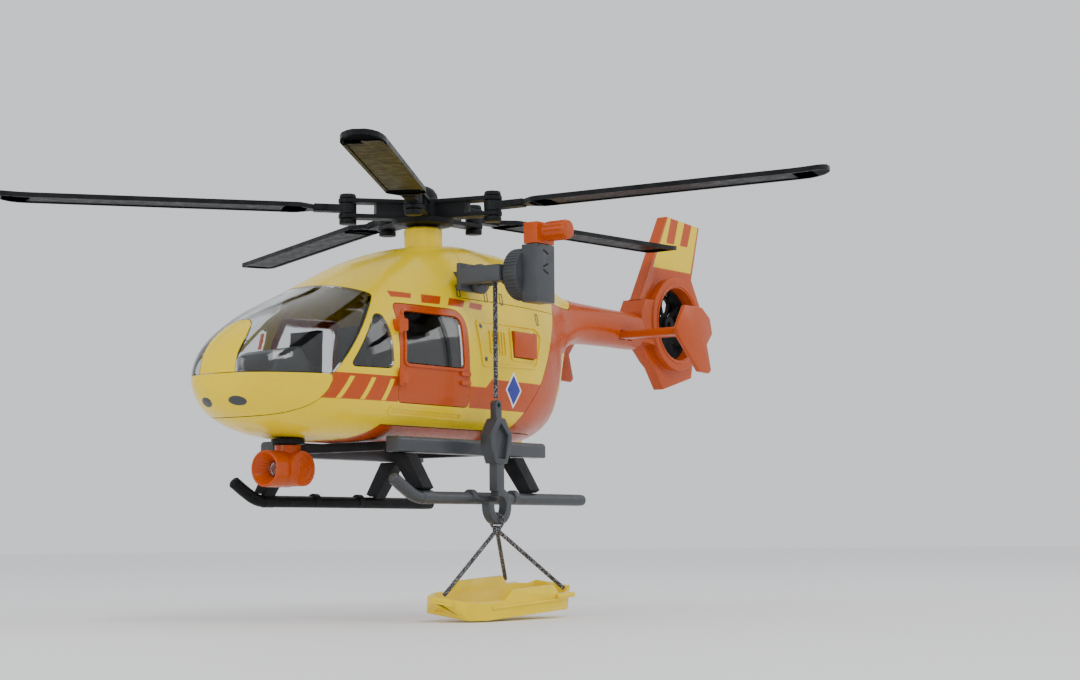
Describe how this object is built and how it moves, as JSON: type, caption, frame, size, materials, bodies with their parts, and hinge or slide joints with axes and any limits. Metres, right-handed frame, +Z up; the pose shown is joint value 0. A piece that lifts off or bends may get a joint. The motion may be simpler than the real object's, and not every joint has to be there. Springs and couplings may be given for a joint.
{
  "type": "rescue helicopter scale model",
  "caption": "Moulded plastic rescue helicopter model with rotor, ducted tail fan, opening doors, swivelling lamp, hand winch, hook and hanging stretcher.",
  "frame": {"origin": "on the rotor mast axis, 65 mm above the underside of the skids: the grip point between finger and thumb on the body, named by mount hand_hold", "axes": "+X to the nose, +Y to port (the winch side), +Z up"},
  "size_m": [0.3677, 0.3264, 0.186],
  "materials": {
    "yellow_plastic": "glossy moulded yellow",
    "orange_plastic": "glossy moulded orange",
    "dark_grey_plastic": "satin moulded dark grey",
    "black_plastic": "satin moulded black",
    "clear_plastic": "clear glossy sheet",
    "blue_lens": "tinted blue lens",
    "steel": "plain steel",
    "circuit_green": "laminate board",
    "cord_black": "braided cord"
  },
  "bodies": {
    "airframe": {"body_shell": "yellow_plastic", "nose_cap": "yellow_plastic", "windscreen": "clear_plastic", "nose_bridge": "yellow_plastic", "belly_tray": "orange_plastic", "battery_cover": "orange_plastic", "engine_cowl": "yellow_plastic", "beacon_lens": "blue_lens", "exhaust_pipes": "dark_grey_plastic", "pilot_window_port": "clear_plastic", "pilot_window_starboard": "clear_plastic", "tail_boom": "orange_plastic", "tail_fin": "orange_plastic", "fan_stator": "black_plastic", "stabilizer": "orange_plastic", "end_plate_port": "orange_plastic", "end_plate_starboard": "orange_plastic", "skid_port": "dark_grey_plastic", "skid_starboard": "black_plastic", "cross_strut_front": "black_plastic", "cross_strut_rear": "black_plastic", "side_step_port": "dark_grey_plastic", "side_step_starboard": "dark_grey_plastic", "lamp_mount": "black_plastic", "winch_bracket": "dark_grey_plastic", "winch_line": "cord_black", "cabin_floor": "black_plastic", "seat_unit": "black_plastic", "instrument_panel": "dark_grey_plastic", "battery_box": "black_plastic", "button_cells": "steel", "circuit_board": "circuit_green", "speaker": "black_plastic"},
    "rotor": {"rotor_shaft": "steel", "rotor_hub": "black_plastic", "blade_pin_1": "black_plastic", "blade_pin_2": "black_plastic", "blade_pin_3": "black_plastic", "blade_pin_4": "black_plastic", "blade_pin_5": "black_plastic"},
    "blade_1": {"rotor_blade_1": "black_plastic"},
    "blade_2": {"rotor_blade_2": "black_plastic"},
    "blade_3": {"rotor_blade_3": "black_plastic"},
    "blade_4": {"rotor_blade_4": "black_plastic"},
    "blade_5": {"rotor_blade_5": "black_plastic"},
    "tail_fan": {"tail_fan": "black_plastic"},
    "port_door": {"door_port": "orange_plastic", "door_window_port": "clear_plastic"},
    "starboard_door": {"door_starboard": "orange_plastic", "door_window_starboard": "clear_plastic"},
    "rear_door": {"rear_door": "yellow_plastic"},
    "button": {"light_button": "orange_plastic", "button_spring": "steel"},
    "lamp": {"searchlight": "orange_plastic", "searchlight_lens": "clear_plastic"},
    "winch": {"winch_drum": "dark_grey_plastic", "crank_handle": "orange_plastic"},
    "hook": {"hook_block": "dark_grey_plastic"},
    "stretcher": {"slings": "cord_black", "stretcher": "yellow_plastic"}
  },
  "joints": [
    {"name": "main_rotor_spin", "type": "hinge", "parent": "airframe", "child": "rotor", "pos_m": [0, 0, 0.05], "axis": [0, 0, 1], "continuous": true},
    {"name": "blade_1_swing", "type": "hinge", "parent": "rotor", "child": "blade_1", "pos_m": [0.02669, 0.01635, 0.0565], "axis": [0, 0, 1], "range_deg": [-12, 12]},
    {"name": "blade_2_swing", "type": "hinge", "parent": "rotor", "child": "blade_2", "pos_m": [-0.00731, 0.03044, 0.0565], "axis": [0, 0, 1], "range_deg": [-12, 12]},
    {"name": "blade_3_swing", "type": "hinge", "parent": "rotor", "child": "blade_3", "pos_m": [-0.0312, 0.00246, 0.0565], "axis": [0, 0, 1], "range_deg": [-12, 12]},
    {"name": "blade_4_swing", "type": "hinge", "parent": "rotor", "child": "blade_4", "pos_m": [-0.01198, -0.02892, 0.0565], "axis": [0, 0, 1], "range_deg": [-12, 12]},
    {"name": "blade_5_swing", "type": "hinge", "parent": "rotor", "child": "blade_5", "pos_m": [0.0238, -0.02033, 0.0565], "axis": [0, 0, 1], "range_deg": [-12, 12]},
    {"name": "tail_fan_spin", "type": "hinge", "parent": "airframe", "child": "tail_fan", "pos_m": [-0.1878, 0, 0.024], "axis": [0, 1, 0], "continuous": true},
    {"name": "port_door_swing", "type": "hinge", "parent": "airframe", "child": "port_door", "pos_m": [0.0586, 0.036, -0.008], "axis": [0, 0, -1], "range_deg": [0, 60]},
    {"name": "starboard_door_swing", "type": "hinge", "parent": "airframe", "child": "starboard_door", "pos_m": [0.0586, -0.036, -0.008], "axis": [0, 0, 1], "range_deg": [0, 60]},
    {"name": "rear_door_swing", "type": "hinge", "parent": "airframe", "child": "rear_door", "pos_m": [-0.0586, 0, -0.0378], "axis": [0, -1, 0], "range_deg": [0, 95]},
    {"name": "button_press", "type": "slide", "parent": "airframe", "child": "button", "axis": [0, -1, 0], "range_m": [0, 0.0012], "stiffness_N_per_m": 400},
    {"name": "lamp_pan", "type": "hinge", "parent": "airframe", "child": "lamp", "pos_m": [0.082, 0, -0.051], "axis": [0, 0, 1], "range_deg": [-90, 90]},
    {"name": "crank_turn", "type": "hinge", "parent": "airframe", "child": "winch", "pos_m": [0.0092, 0.05, 0.0245], "axis": [0, -1, 0], "range_deg": [0, 214.4]},
    {"name": "hook_lift", "type": "slide", "parent": "airframe", "child": "hook", "axis": [0, 0, 1], "range_m": [0, 0.012], "deforming": ["winch_line"]},
    {"name": "stretcher_swing", "type": "hinge", "parent": "hook", "child": "stretcher", "pos_m": [0.0124, 0.0461, -0.07], "axis": [0, 1, 0], "range_deg": [-20, 20]}
  ],
  "couplings": [
    {"joint": "hook_lift", "follows": "crank_turn", "m_per_rad": 0.0032}
  ]
}
